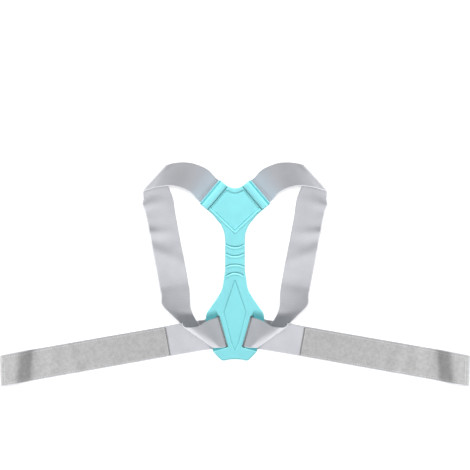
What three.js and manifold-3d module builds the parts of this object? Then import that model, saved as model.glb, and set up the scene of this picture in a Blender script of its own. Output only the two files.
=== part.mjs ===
// A posture corrector that lies open on a table: a moulded back plate and two elastic straps.
// Millimetres. +X is the wearer's right as the plate lies face up, +Y points to the neck, +Z up.
// The origin is on the plate's flat rear face, at the middle of its neck.
import * as THREE from 'three';
import { mergeVertices } from 'three/addons/utils/BufferGeometryUtils.js';
import Module from 'manifold-3d';

const wasm = await Module();
wasm.setup();

// Plate: heights are counted from the origin, widths across the whole plate
const PLATE_THICKNESS = 6;
const PLATE_EDGE = 1;
const ARM_REACH = 33;
const ARM_HEIGHT = 104.5;
const ARM_YAW = 50;
const NOTCH_HEIGHT = 108.7;
const NECK_WIDTH = 25.4;
const NECK_TOP = 41.6;
const NECK_BOTTOM = 2.6;
const FOOT_WIDTH = 34;
const FOOT_DEPTH = 115;
const FOOT_HOLLOW = 2.2;
const FOOT_CORNER = { out: 2, up: 2.5 };
const NOTCH_SHOULDER = { out: 0.55, up: 1.5 };

// Raised bar on each arm, with the pocket that holds a strap's end
const BAR_WIDTH = 12.8;
const BAR_RISE = 2;
const BAR_BEVEL = 3.8;
const BAR_LIP = 1;
const POCKET_DEPTH = 9.5;
const POCKET_FLOOR = 1.6;
const POCKET_WALL = 1.2;

// Slot in each lower ear, and the low bar outside it that the strap wraps
const SLOT_OUT = 16.6;
const SLOT_DEPTH = 77.5;
const SLOT_WIDTH = 4;
const SLOT_LEAN = 15.7;
const EAR_BAR_WIDTH = 16;
const EAR_BAR_THICKNESS = 2.2;
const EAR_BAR_CHAMFER = 0.75;
const EAR_RAMP = 9;
const EAR_TOP = 0.40;
const EAR_FOOT = 0.52;

// Relief in the plate's face
const RELIEF_DEPTH = 0.7;
const GROOVE_WIDTH = 1.5;
const SHIELD_TIP = 51.5;
const SHIELD_TOP = 0.36;
const SHIELD_FOOT = 0.42;
const NOTCH_MARGIN = 4;
const GROOVE_REACH = 0.44;
const NECK_GROOVES = [
  { name: 'upper_smile', height: 0.80, bow: 0.11 },
  { name: 'lower_smile', height: 0.50, bow: 0.10 },
  { name: 'upper_frown', height: 0.165, bow: -0.08 },
  { name: 'lower_frown', height: -0.125, bow: -0.12 },
];
const RHOMBUS_TOP = -10.8;
const RHOMBUS_WIDTH = 28.6;
const RHOMBUS_FOOT = 0.30;
const RHOMBUS_MIDDLE = -52;
const RHOMBUS_BOTTOM = -92;

// Straps
const STRAP_WIDTH = 40;
const STRAP_THICKNESS = 1.6;
const STRAP_GAP = 0.3;
const SLOT_END_GAP = 1.2;
const SLOT_ENTRY_ANGLE = 30;
const SLOT_LEAD = 0.25;
const ARM_FIT = 0.93;
const SHOULDER_REACH = 72;
const EAR_REACH = 50;
const STRAP_LIFT = 25;
const WAIST_LENGTH = 291;
const WAIST_YAW = 190;
const END_LIFT = 8.5;
const STATION_STEP = 6;
const ROLL_STEP = 22.5;
const CURVE_STEPS = 6;

// Loop fabric on the waist run, and the hook patch under one end
const PANEL_THICKNESS = 1.2;
const PANEL_START = 0.239;
const PANEL_END_MARGIN = 1;
const PANEL_SIDE_MARGIN = 1.4;
const HOOK_LENGTH = 22;
const HOOK_THICKNESS = 1;

// Places along the shoulder run. Out and up are shares of SHOULDER_REACH from the arm's mouth,
// lift is a share of STRAP_LIFT, width a share of STRAP_WIDTH, yaw and tilt are degrees.
const SHOULDER_RUN = [
  { name: 'mouth', out: 0.06, up: 0.05, lift: 0.12, yaw: 51, tilt: 0, width: 0.93 },
  { name: 'rise', out: 0.18, up: 0.18, lift: 0.32, yaw: 56, tilt: -11, width: 0.94 },
  { name: 'hump', out: 0.40, up: 0.28, lift: 0.48, yaw: 65, tilt: -20, width: 0.94 },
  { name: 'crest', out: 0.61, up: 0.31, lift: 0.49, yaw: 62, tilt: -23, width: 0.94 },
  { name: 'fall', out: 0.82, up: 0.285, lift: 0.43, yaw: 54, tilt: -18, width: 1.03 },
];
const UPPER_FOLD = {
  out: 0.99, up: 0.245, yaw: 48, length: 1.14, farRadius: 0.22, nearRadius: 0.09,
  farLift: 0.28, nearLift: 0.17, advance: 0.76, from: 20, to: 180,
};
const UNDER_RUN = [
  { name: 'under_fold', out: 0.985, up: -0.035, lift: 0.075, yaw: 40, tilt: 0, width: 1.03 },
  { name: 'side_top', out: 0.912, up: -0.235, lift: 0.13, yaw: 27, tilt: -1, width: 1.00 },
];

// Waves down the side run. Down is a share of the way between the runs above and below it.
const SIDE_RUN = [
  { name: 'wave_crest', down: 0.16, lift: 0.17, yaw: 13, tilt: -3, width: 0.93 },
  { name: 'wave_foot', down: 0.42, lift: 0.08, yaw: 9, tilt: -1, width: 0.93 },
  { name: 'low_crest', down: 0.56, lift: 0.14, yaw: 16, tilt: -3, width: 0.94 },
  { name: 'low_foot', down: 0.74, lift: 0.10, yaw: 18, tilt: -2, width: 0.95 },
  { name: 'climb', down: 0.90, lift: 0.13, yaw: 12, tilt: -4, width: 0.94 },
];

// The lower fold. Out and up are shares of EAR_REACH from the slot's middle.
const FOLD_RUN = [
  { name: 'shoulder', out: 1.21, up: 1.00, lift: 0.28, yaw: 7, tilt: -9, width: 0.93 },
  { name: 'turn', out: 1.18, up: 0.65, lift: 0.45, yaw: -8, tilt: -16, width: 0.96 },
  { name: 'steep', out: 0.97, up: 0.34, lift: 0.44, yaw: -16, tilt: -25, width: 0.91 },
  { name: 'tuck', out: 0.80, up: 0.12, lift: 0.44, yaw: -27, tilt: -22, width: 1.04 },
];
const LOWER_FOLD = {
  out: 0.625, up: -0.135, yaw: -36, length: 1.18, farRadius: 0.24, nearRadius: 0.09,
  farLift: 0.84, nearLift: 0.29, advance: 0.90, from: 150, to: 10,
};
const EAR_RUN = [
  { name: 'fold_back', out: 0.35, up: -0.12, lift: 0.64, yaw: -46, tilt: -14, width: 1.02 },
  { name: 'settle', out: 0.20, up: -0.06, lift: 0.41, yaw: -60, tilt: -5, width: 1.00 },
];

// The waist run. Along is a share of WAIST_LENGTH from the slot, lift a share of END_LIFT.
const WAIST_RUN = [
  { name: 'leave_ear', along: 0.12, lift: 0, yaw: -79, tilt: 0, width: 0.99 },
  { name: 'flat_one', along: 0.30, lift: 0, yaw: -80, tilt: 0, width: 0.99 },
  { name: 'flat_two', along: 0.55, lift: 0, yaw: -80, tilt: 0, width: 1.00 },
  { name: 'flat_three', along: 0.76, lift: 0.02, yaw: -81, tilt: 0, width: 1.00 },
  { name: 'bend_foot', along: 0.86, lift: 0.08, yaw: -92, tilt: 0, width: 1.03 },
  { name: 'bend', along: 0.895, lift: 0.60, yaw: -96, tilt: 0, width: 1.05 },
  { name: 'bend_top', along: 0.925, lift: 1.05, yaw: -95.5, tilt: 0, width: 1.04 },
  { name: 'level', along: 0.96, lift: 1.09, yaw: -94, tilt: 0, width: 1.02 },
  { name: 'end', along: 1.00, lift: 1.04, yaw: -88.4, tilt: 0, width: 1.00 },
];

// Colours
const PLATE_COLOUR = 0x8be9f0;
const STRAP_COLOUR = 0xcdcfd4;
const PANEL_COLOUR = 0xbebebe;
const HOOK_COLOUR = 0xb4b6ba;

const radians = THREE.MathUtils.degToRad;
const UP = new THREE.Vector3(0, 0, 1);

function planDirection(yaw) {
  return new THREE.Vector3(Math.cos(radians(yaw)), Math.sin(radians(yaw)), 0);
}

// Frames that both the plate and the straps are built on, for the side at negative X
const barAlong = planDirection(ARM_YAW);
const barOut = planDirection(ARM_YAW + 90);
const armEnd = new THREE.Vector3(-ARM_REACH, ARM_HEIGHT, 0);
const barLength = STRAP_WIDTH * ARM_FIT + 2 * (STRAP_GAP + POCKET_WALL);
const pocketHeight = STRAP_THICKNESS + 2 * STRAP_GAP;
const barTop = PLATE_THICKNESS + BAR_RISE;
const slotMiddle = new THREE.Vector3(-SLOT_OUT, -SLOT_DEPTH, 0);
const slotAlong = planDirection(SLOT_LEAN - 90);
const slotOut = planDirection(SLOT_LEAN + 180);
const slotLength = STRAP_WIDTH + 2 * SLOT_END_GAP;
const earBarFloor = STRAP_THICKNESS + STRAP_GAP;
const earBarTop = earBarFloor + EAR_BAR_THICKNESS;

function solidOf(geometry) {
  geometry.deleteAttribute('normal');
  geometry.deleteAttribute('uv');
  const merged = mergeVertices(geometry, 1e-4);
  const vertProperties = new Float32Array(merged.attributes.position.array);
  const triVerts = new Uint32Array(merged.index.array);
  return new wasm.Manifold(new wasm.Mesh({ numProp: 3, vertProperties, triVerts }));
}

function geometryOf(solid) {
  const mesh = solid.getMesh();
  const geometry = new THREE.BufferGeometry();
  geometry.setAttribute('position', new THREE.BufferAttribute(mesh.vertProperties, 3));
  geometry.setIndex(new THREE.BufferAttribute(mesh.triVerts, 1));
  geometry.computeVertexNormals();
  return geometry;
}

// A prism of a flat outline between two heights
function prism(shape, floor, top) {
  const geometry = new THREE.ExtrudeGeometry(shape, {
    depth: top - floor,
    bevelEnabled: false,
    curveSegments: CURVE_STEPS,
  });
  geometry.translate(0, 0, floor);
  return solidOf(geometry);
}

function polygon(points) {
  return new THREE.Shape(points.map(([x, y]) => new THREE.Vector2(x, y)));
}

// A prism whose section lies in the plane of `across` and +Z, and which runs along `along`
function beam(section, origin, across, along, length) {
  const geometry = new THREE.ExtrudeGeometry(polygon(section), { depth: length, bevelEnabled: false });
  geometry.translate(0, 0, -length / 2);
  const frame = new THREE.Matrix4().makeBasis(across, UP, along);
  if (frame.determinant() < 0) frame.makeBasis(across, UP, along.clone().negate());
  frame.setPosition(origin);
  geometry.applyMatrix4(frame);
  return solidOf(geometry);
}

function mirrored(solid) {
  return solid.mirror([1, 0, 0]);
}

// Half outline of the plate, from the notch to the foot, on the side at negative X
const HEAD_FLARE = [
  { out: 0.03, up: 0.21 },
  { out: 0.11, up: 0.35 },
  { out: 0.23, up: 0.51 },
  { out: 0.47, up: 0.68 },
  { out: 0.67, up: 0.83 },
];
const EAR_FLARE = [
  { out: 0.06, down: 0.16 },
  { out: 0.16, down: 0.36 },
  { out: 0.39, down: 0.52 },
  { out: 0.70, down: 0.69 },
  { out: 0.93, down: 0.82 },
  { out: 0.98, down: 0.90 },
];

function halfOutline() {
  const inset = BAR_WIDTH - BAR_LIP;
  const armTop = armEnd.clone().addScaledVector(barAlong, barLength / 2).addScaledVector(barOut, -inset);
  const armFoot = armEnd.clone().addScaledVector(barAlong, -barLength / 2).addScaledVector(barOut, -inset);
  const earEdge = slotMiddle.clone().addScaledVector(slotOut, SLOT_WIDTH / 2 + EAR_BAR_WIDTH);
  const earTop = earEdge.clone().addScaledVector(slotAlong, -slotLength * EAR_TOP);
  const earFoot = earEdge.clone().addScaledVector(slotAlong, slotLength * EAR_FOOT);
  const neck = NECK_WIDTH / 2;
  const head = HEAD_FLARE.map(({ out, up }) => [
    -neck - out * (-armFoot.x - neck),
    NECK_TOP + up * (armFoot.y - NECK_TOP),
  ]).reverse();
  const ear = EAR_FLARE.map(({ out, down }) => [
    -neck - out * (-earTop.x - neck),
    NECK_BOTTOM + down * (earTop.y - NECK_BOTTOM),
  ]);
  return [
    [0, NOTCH_HEIGHT],
    [armTop.x * NOTCH_SHOULDER.out, NOTCH_HEIGHT + NOTCH_SHOULDER.up],
    [armTop.x, armTop.y],
    [armFoot.x, armFoot.y],
    ...head,
    [-neck, NECK_TOP],
    [-neck, NECK_BOTTOM],
    ...ear,
    [earTop.x, earTop.y],
    [earFoot.x, earFoot.y],
    [-FOOT_WIDTH / 2 - FOOT_CORNER.out, -FOOT_DEPTH + FOOT_CORNER.up],
    [-FOOT_WIDTH / 2, -FOOT_DEPTH],
    [0, -FOOT_DEPTH + FOOT_HOLLOW],
  ];
}

function plateBlank() {
  const half = halfOutline();
  const other = half.slice(1, -1).reverse().map(([x, y]) => [-x, y]);
  const geometry = new THREE.ExtrudeGeometry(polygon([...half, ...other]), {
    depth: PLATE_THICKNESS - 2 * PLATE_EDGE,
    bevelThickness: PLATE_EDGE,
    bevelSize: PLATE_EDGE,
    bevelOffset: -PLATE_EDGE,
    bevelSegments: 1,
  });
  geometry.translate(0, 0, PLATE_EDGE);
  return solidOf(geometry);
}

// Section of an arm's bar: inward distance from the mouth, and height
function armBar() {
  const lipHeight = POCKET_FLOOR + pocketHeight + BAR_LIP;
  const section = [
    [0, 0],
    [BAR_WIDTH, 0],
    [BAR_WIDTH, PLATE_THICKNESS],
    [BAR_WIDTH - 1, barTop],
    [BAR_BEVEL, barTop],
    [0, lipHeight],
  ];
  return beam(section, armEnd, barOut.clone().negate(), barAlong, barLength);
}

function armPocket() {
  const section = [
    [-1, POCKET_FLOOR],
    [POCKET_DEPTH, POCKET_FLOOR],
    [POCKET_DEPTH, POCKET_FLOOR + pocketHeight],
    [-1, POCKET_FLOOR + pocketHeight],
  ];
  const length = barLength - 2 * POCKET_WALL;
  return beam(section, armEnd, barOut.clone().negate(), barAlong, length);
}

function earSlot() {
  const section = [
    [-SLOT_WIDTH / 2, -1],
    [SLOT_WIDTH / 2, -1],
    [SLOT_WIDTH / 2, barTop],
    [-SLOT_WIDTH / 2, barTop],
  ];
  return beam(section, slotMiddle, slotOut, slotAlong, slotLength);
}

// Room above the low bar, with a ramp up to the ear's face at its upper end
function earHollow() {
  const top = PLATE_THICKNESS + 1;
  const rise = top - earBarTop;
  const ramp = EAR_RAMP * rise / (PLATE_THICKNESS - earBarTop);
  const section = [
    [-slotLength / 2 - ramp, top],
    [-slotLength / 2, earBarTop],
    [slotLength / 2, earBarTop],
    [slotLength / 2, top],
  ];
  const reach = EAR_BAR_WIDTH * 2;
  const origin = slotMiddle.clone().addScaledVector(slotOut, reach / 2);
  return beam(section, origin, slotAlong, slotOut, reach);
}

// The two edges of the low bar that the strap bends round
function earBarChamfers() {
  const face = slotMiddle.clone().addScaledVector(slotOut, SLOT_WIDTH / 2);
  const [low, high, cut] = [earBarFloor, earBarTop, EAR_BAR_CHAMFER];
  const corner = (height, into) => [
    [-1, height + into * cut + into],
    [-1, height - into],
    [cut + 1, height - into],
  ];
  const bottom = beam(corner(low, 1), face, slotOut, slotAlong, slotLength);
  const top = beam(corner(high, -1), face, slotOut, slotAlong, slotLength);
  return bottom.add(top);
}

// Channel under the low bar, where the strap leaves along the surface
function earChannel() {
  const reach = EAR_BAR_WIDTH * 2;
  const spread = slotLength / 2 + 2;
  const section = [
    [-spread, -1],
    [spread, -1],
    [spread, earBarFloor],
    [-spread, earBarFloor],
  ];
  const origin = slotMiddle.clone().addScaledVector(slotOut, reach / 2);
  return beam(section, origin, slotAlong, slotOut, reach);
}

function shieldRecess() {
  const margin = BAR_WIDTH + GROOVE_WIDTH;
  const beside = armEnd.clone().addScaledVector(barOut, -margin);
  const top = beside.clone().addScaledVector(barAlong, barLength * SHIELD_TOP);
  const foot = beside.clone().addScaledVector(barAlong, -barLength * SHIELD_FOOT);
  const shape = polygon([
    [0, SHIELD_TIP],
    [-foot.x, foot.y],
    [-top.x, top.y],
    [0, NOTCH_HEIGHT - NOTCH_MARGIN],
    [top.x, top.y],
    [foot.x, foot.y],
  ]);
  return prism(shape, PLATE_THICKNESS - RELIEF_DEPTH, barTop);
}

// A bowed groove across the neck. Height and bow are shares of the neck's length and width.
function neckGroove({ height, bow }) {
  const reach = NECK_WIDTH * GROOVE_REACH;
  const middle = NECK_BOTTOM + height * (NECK_TOP - NECK_BOTTOM);
  const sag = bow * NECK_WIDTH;
  const shape = new THREE.Shape();
  shape.moveTo(-reach, middle + sag);
  shape.quadraticCurveTo(0, middle - sag, reach, middle + sag);
  shape.lineTo(reach, middle + sag - GROOVE_WIDTH);
  shape.quadraticCurveTo(0, middle - sag - GROOVE_WIDTH, -reach, middle + sag - GROOVE_WIDTH);
  return prism(shape, PLATE_THICKNESS - RELIEF_DEPTH, barTop);
}

function rhombusRecess() {
  const shape = polygon([
    [0, RHOMBUS_TOP],
    [-RHOMBUS_WIDTH / 2, RHOMBUS_MIDDLE],
    [-RHOMBUS_WIDTH / 2 * RHOMBUS_FOOT, RHOMBUS_BOTTOM],
    [RHOMBUS_WIDTH / 2 * RHOMBUS_FOOT, RHOMBUS_BOTTOM],
    [RHOMBUS_WIDTH / 2, RHOMBUS_MIDDLE],
  ]);
  return prism(shape, PLATE_THICKNESS - RELIEF_DEPTH, barTop);
}

function backPlate() {
  let plate = plateBlank();
  for (const side of [(solid) => solid, mirrored]) {
    plate = plate.add(side(armBar()));
    plate = plate.subtract(side(armPocket()));
    plate = plate.subtract(side(earSlot()));
    plate = plate.subtract(side(earHollow()));
    plate = plate.subtract(side(earChannel()));
    plate = plate.subtract(side(earBarChamfers()));
  }
  plate = plate.subtract(shieldRecess()).subtract(rhombusRecess());
  for (const groove of NECK_GROOVES) {
    plate = plate.subtract(neckGroove(groove));
  }
  return geometryOf(plate);
}

// A section of a strap: its far edge, away from the plate on the side run, and its near edge
function section(centre, yaw, tilt, width) {
  const half = planDirection(yaw).multiplyScalar(Math.cos(radians(tilt)));
  half.z = Math.sin(radians(tilt));
  half.multiplyScalar(width / 2);
  return { near: centre.clone().add(half), far: centre.clone().sub(half) };
}

function placed(anchor, reach, rows) {
  return rows.map(({ out, up, lift, yaw, tilt, width }) => section(
    new THREE.Vector3(anchor.x - out * reach, anchor.y + up * reach, lift * STRAP_LIFT),
    yaw, tilt, width * STRAP_WIDTH,
  ));
}

// Sections round a roll. Each end of the axis has its own radius, and the ends creep along it.
function roll(axis, out, farRadius, nearRadius, advance, from, to) {
  const along = axis.near.clone().sub(axis.far).setZ(0).normalize();
  const steps = Math.ceil(Math.abs(to - from) / ROLL_STEP);
  const rows = [];
  for (let i = 0; i <= steps; i += 1) {
    const angle = radians(from + (to - from) * i / steps);
    const end = (point, radius) => point.clone()
      .addScaledVector(out, radius * Math.sin(angle))
      .addScaledVector(along, advance * radius * (angle - Math.PI / 2))
      .addScaledVector(UP, radius * Math.cos(angle));
    rows.push({ far: end(axis.far, farRadius), near: end(axis.near, nearRadius) });
  }
  return rows;
}

// A diagonal fold whose outer edge shows as a straight line in plan
function diagonalFold(anchor, reach, fold, side) {
  const centre = new THREE.Vector3(anchor.x - fold.out * reach, anchor.y + fold.up * reach, 0);
  const along = planDirection(fold.yaw);
  const out = planDirection(fold.yaw + side);
  const half = fold.length * STRAP_WIDTH / 2;
  const far = centre.clone().addScaledVector(along, -half);
  const near = centre.clone().addScaledVector(along, half);
  const farRadius = fold.farRadius * STRAP_LIFT;
  const nearRadius = fold.nearRadius * STRAP_LIFT;
  far.addScaledVector(out, -farRadius - STRAP_THICKNESS / 2).setZ(fold.farLift * STRAP_LIFT);
  near.addScaledVector(out, -nearRadius - STRAP_THICKNESS / 2).setZ(fold.nearLift * STRAP_LIFT);
  return roll({ far, near }, out, farRadius, nearRadius, -fold.advance, fold.from, fold.to);
}

function pocketRun() {
  const floor = POCKET_FLOOR + STRAP_GAP + STRAP_THICKNESS / 2;
  const width = STRAP_WIDTH * ARM_FIT;
  return [POCKET_DEPTH - STRAP_GAP, POCKET_DEPTH / 2, 0].map((inward) => section(
    armEnd.clone().addScaledVector(barOut, -inward).setZ(floor), ARM_YAW, 0, width,
  ));
}

// Down through the slot and round the low bar's inner edge
function slotRun() {
  const half = EAR_BAR_THICKNESS / 2;
  const radius = half + STRAP_GAP + STRAP_THICKNESS / 2;
  const centre = slotMiddle.clone().addScaledVector(slotOut, SLOT_WIDTH / 2 + half);
  centre.z = earBarFloor + half;
  const far = centre.clone().addScaledVector(slotAlong, -STRAP_WIDTH / 2);
  const near = centre.clone().addScaledVector(slotAlong, STRAP_WIDTH / 2);
  const inward = slotOut.clone().negate();
  const turn = roll({ far, near }, inward, radius, radius, 0, SLOT_ENTRY_ANGLE, 180);
  const { far: a, near: b } = turn[turn.length - 1];
  const lead = {
    far: a.clone().addScaledVector(slotOut, EAR_BAR_WIDTH * SLOT_LEAD),
    near: b.clone().addScaledVector(slotOut, EAR_BAR_WIDTH * SLOT_LEAD),
  };
  return [...turn, lead];
}

function waistRun() {
  const start = slotMiddle.clone().setZ(STRAP_THICKNESS / 2);
  const heading = planDirection(WAIST_YAW);
  return WAIST_RUN.map(({ along, lift, yaw, tilt, width }) => section(
    start.clone().addScaledVector(heading, along * WAIST_LENGTH).addScaledVector(UP, lift * END_LIFT),
    yaw, tilt, width * STRAP_WIDTH,
  ));
}

function sideRun(top, bottom) {
  const middle = ({ far, near }) => far.clone().add(near).multiplyScalar(0.5);
  return SIDE_RUN.map(({ down, lift, yaw, tilt, width }) => section(
    middle(top).lerp(middle(bottom), down).setZ(lift * STRAP_LIFT),
    yaw, tilt, width * STRAP_WIDTH,
  ));
}

function strapRows() {
  const mouth = armEnd.clone();
  const under = placed(mouth, SHOULDER_REACH, UNDER_RUN);
  const fold = placed(slotMiddle, EAR_REACH, FOLD_RUN);
  return [
    ...pocketRun(),
    ...placed(mouth, SHOULDER_REACH, SHOULDER_RUN),
    ...diagonalFold(mouth, SHOULDER_REACH, UPPER_FOLD, 90),
    ...under,
    ...sideRun(under[under.length - 1], fold[0]),
    ...fold,
    ...diagonalFold(slotMiddle, EAR_REACH, LOWER_FOLD, -90),
    ...placed(slotMiddle, EAR_REACH, EAR_RUN),
    ...slotRun(),
    ...waistRun(),
  ];
}

// Rows are joined by smooth curves whose knots are the distances between the rows' middles
function stationsThrough(rows) {
  const middles = rows.map(({ far, near }) => far.clone().add(near).multiplyScalar(0.5));
  const knots = [0];
  for (let i = 1; i < rows.length; i += 1) {
    knots.push(knots[i - 1] + Math.max(middles[i].distanceTo(middles[i - 1]), 0.5));
  }
  const slope = (edge, i) => {
    const a = Math.max(i - 1, 0);
    const b = Math.min(i + 1, rows.length - 1);
    return rows[b][edge].clone().sub(rows[a][edge]).divideScalar(knots[b] - knots[a]);
  };
  const at = (edge, i, t) => {
    const span = knots[i + 1] - knots[i];
    const [t2, t3] = [t * t, t * t * t];
    return new THREE.Vector3()
      .addScaledVector(rows[i][edge], 2 * t3 - 3 * t2 + 1)
      .addScaledVector(slope(edge, i), span * (t3 - 2 * t2 + t))
      .addScaledVector(rows[i + 1][edge], 3 * t2 - 2 * t3)
      .addScaledVector(slope(edge, i + 1), span * (t3 - t2));
  };
  const stations = [];
  for (let i = 0; i < rows.length - 1; i += 1) {
    const span = knots[i + 1] - knots[i];
    const steps = Math.max(1, Math.round(span / STATION_STEP));
    for (let k = 0; k < steps; k += 1) {
      const t = k / steps;
      stations.push({ far: at('far', i, t), near: at('near', i, t), distance: knots[i] + t * span });
    }
  }
  const last = rows[rows.length - 1];
  stations.push({ far: last.far.clone(), near: last.near.clone(), distance: knots[knots.length - 1] });
  return stations;
}

// Upward side of the band at each station, from the band's own direction
function normalsOf(stations) {
  return stations.map((station, i) => {
    const a = stations[Math.max(i - 1, 0)];
    const b = stations[Math.min(i + 1, stations.length - 1)];
    const ahead = b.far.clone().add(b.near).sub(a.far).sub(a.near);
    return station.near.clone().sub(station.far).cross(ahead).normalize();
  });
}

// A closed band between two offsets from the stations, narrowed by a margin at both edges
function band(stations, low, high, margin = 0) {
  const normals = normalsOf(stations);
  const points = [];
  stations.forEach(({ far, near }, i) => {
    const inset = near.clone().sub(far).setLength(margin);
    for (const [edge, sign] of [[far, 1], [near, -1]]) {
      for (const offset of [low, high]) {
        points.push(edge.clone().addScaledVector(inset, margin > 0 ? sign : 0)
          .addScaledVector(normals[i], offset));
      }
    }
  });
  const index = [];
  const quad = (a, b, c, d) => index.push(a, b, c, a, c, d);
  const corners = [0, 1, 3, 2];
  for (let i = 0; i < stations.length - 1; i += 1) {
    corners.forEach((corner, k) => {
      const next = corners[(k + 1) % 4];
      quad(4 * i + corner, 4 * i + next, 4 * i + 4 + next, 4 * i + 4 + corner);
    });
  }
  const last = 4 * (stations.length - 1);
  quad(0, 2, 3, 1);
  quad(last, last + 1, last + 3, last + 2);
  const geometry = new THREE.BufferGeometry();
  geometry.setFromPoints(points);
  geometry.setIndex(index);
  geometry.computeVertexNormals();
  return geometry;
}

function between(stations, from, to) {
  const inside = stations.filter(({ distance }) => distance > from + 1 && distance < to - 1);
  return [stationAt(stations, from), ...inside, stationAt(stations, to)];
}

function stationAt(stations, distance) {
  const i = Math.min(stations.findIndex((s) => s.distance >= distance), stations.length - 1);
  const [a, b] = [stations[Math.max(i - 1, 0)], stations[i]];
  const t = (distance - a.distance) / (b.distance - a.distance);
  return { far: a.far.clone().lerp(b.far, t), near: a.near.clone().lerp(b.near, t), distance };
}

function mirroredGeometry(geometry) {
  const copy = geometry.clone();
  copy.scale(-1, 1, 1);
  const index = copy.index.array;
  for (let i = 0; i < index.length; i += 3) {
    [index[i + 1], index[i + 2]] = [index[i + 2], index[i + 1]];
  }
  copy.computeVertexNormals();
  return copy;
}

function piece(name, geometry, color, roughness) {
  const mesh = new THREE.Mesh(geometry, new THREE.MeshStandardMaterial({ color, roughness, metalness: 0 }));
  mesh.name = name;
  return mesh;
}

const stations = stationsThrough(strapRows());
const strapEnd = stations[stations.length - 1].distance;
const half = STRAP_THICKNESS / 2;
const strap = band(stations, -half, half);
const panelEnd = strapEnd - PANEL_END_MARGIN;
const panelStations = between(stations, strapEnd - WAIST_LENGTH * (1 - PANEL_START), panelEnd);
const panelFloor = half + STRAP_GAP;
const panel = band(panelStations, -panelFloor - PANEL_THICKNESS, -panelFloor, PANEL_SIDE_MARGIN);
const hookStations = between(stations, panelEnd - HOOK_LENGTH, panelEnd);
const hook = band(hookStations, panelFloor, panelFloor + HOOK_THICKNESS, PANEL_SIDE_MARGIN);

const corrector = new THREE.Group();
corrector.add(piece('back_plate', backPlate(), PLATE_COLOUR, 0.45));
corrector.add(piece('strap_left', strap, STRAP_COLOUR, 0.9));
corrector.add(piece('strap_right', mirroredGeometry(strap), STRAP_COLOUR, 0.9));
corrector.add(piece('loop_panel_left', panel, PANEL_COLOUR, 1));
corrector.add(piece('loop_panel_right', mirroredGeometry(panel), PANEL_COLOUR, 1));
corrector.add(piece('hook_tab', hook, HOOK_COLOUR, 0.95));

export default corrector;
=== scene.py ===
# %% [markdown]
# # A posture corrector, laid open on a table
# The real object is a moulded plate that sits between the shoulder blades, with one elastic strap on
# each side. It lies face up, and the picture is taken from straight above with a long lens.
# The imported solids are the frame: they say where everything is. Each solid is replaced here by a finer
# mesh of the same form, because thin rounded edges, weave and stitches are too fine for the solids.

# %% Load the frame
import math

import bmesh
import bpy
import numpy as np
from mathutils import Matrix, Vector, geometry
from mathutils.kdtree import KDTree


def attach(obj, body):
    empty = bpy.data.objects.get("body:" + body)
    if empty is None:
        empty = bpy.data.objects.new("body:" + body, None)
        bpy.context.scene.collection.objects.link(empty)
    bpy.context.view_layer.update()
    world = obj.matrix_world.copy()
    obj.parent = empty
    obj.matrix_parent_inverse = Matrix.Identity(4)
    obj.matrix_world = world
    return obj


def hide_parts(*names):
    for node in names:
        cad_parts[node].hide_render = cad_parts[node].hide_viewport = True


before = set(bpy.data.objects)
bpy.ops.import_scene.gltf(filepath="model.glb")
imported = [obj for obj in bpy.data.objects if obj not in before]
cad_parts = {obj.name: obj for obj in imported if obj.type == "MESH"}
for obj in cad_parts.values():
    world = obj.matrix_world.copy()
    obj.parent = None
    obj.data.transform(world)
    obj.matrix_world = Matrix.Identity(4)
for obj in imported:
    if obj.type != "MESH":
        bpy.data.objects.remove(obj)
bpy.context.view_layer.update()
MM = 0.001

# %% [markdown]
# ## Camera
# The photo looks straight down, with the neck end of the plate at the top of the picture. A strap is
# 40 mm wide and covers 31 pixels, so the 470 pixels of the frame show 611 mm. A camera 2.4 m up with a
# long lens shows the raised folds with hardly any perspective, as the photo does.

# %% Camera straight above
FRAME_PIXELS = 470
PIXEL_MM = 1.3
CAMERA_HEIGHT = 2.4
CAMERA_CENTRE = (0.0, 48.1 * MM)


def add_camera():
    data = bpy.data.cameras.new("camera")
    data.sensor_width = 36.0
    data.lens = data.sensor_width * CAMERA_HEIGHT / (FRAME_PIXELS * PIXEL_MM * MM)
    data.clip_end = 20.0
    camera = bpy.data.objects.new("camera", data)
    camera.location = (*CAMERA_CENTRE, CAMERA_HEIGHT)
    bpy.context.scene.collection.objects.link(camera)
    bpy.context.scene.camera = camera
    return camera


camera = add_camera()
print("lens in mm:", round(camera.data.lens))

# %% [markdown]
# ## Light and floor
# The photo was lit softly from all round, a little more from the top of the picture. Each half was lit
# from its own outer side: steep parts that face the plate are dark, and those that face outwards are
# light. So each side light is linked to the pieces of its own side, which is simpler than screens
# between two lamps. A fill from across the plate softens the straps' dark parts. The paper floor gets
# only the lamps from above and comes out white.

# %% Soft boxes and a pale floor
LIGHTS = {
    "overhead": {"at": (0.0, 0.2, 1.9), "size": 1.1, "watts": 8.3},
    "left_fill": {"at": (1.5, -1.5, 0.9), "size": 0.7, "watts": 45.0},
    "right_fill": {"at": (-1.5, -1.5, 0.9), "size": 0.7, "watts": 45.0},
    "neck_side": {"at": (0.0, 2.0, 1.2), "size": 0.7, "watts": 50.0},
    "left_side": {"at": (-1.9, -0.4, 1.0), "size": 0.7, "watts": 51.0},
    "right_side": {"at": (1.9, -0.4, 1.0), "size": 0.7, "watts": 51.0},
    "paper_top": {"at": (0.0, 0.1, 2.2), "size": 2.4, "watts": 64.0},
}
WORLD_STRENGTH = 0.32
FLOOR_SIZE = 8.0
PAPER_COLOUR = (0.97, 0.97, 0.97)


def add_light(at, size, watts, name):
    data = bpy.data.lights.new(name, "AREA")
    data.size = size
    data.energy = watts
    light = bpy.data.objects.new(name, data)
    light.location = at
    light.rotation_euler = (-Vector(at)).to_track_quat("-Z", "Y").to_euler()
    bpy.context.scene.collection.objects.link(light)
    return light


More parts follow.
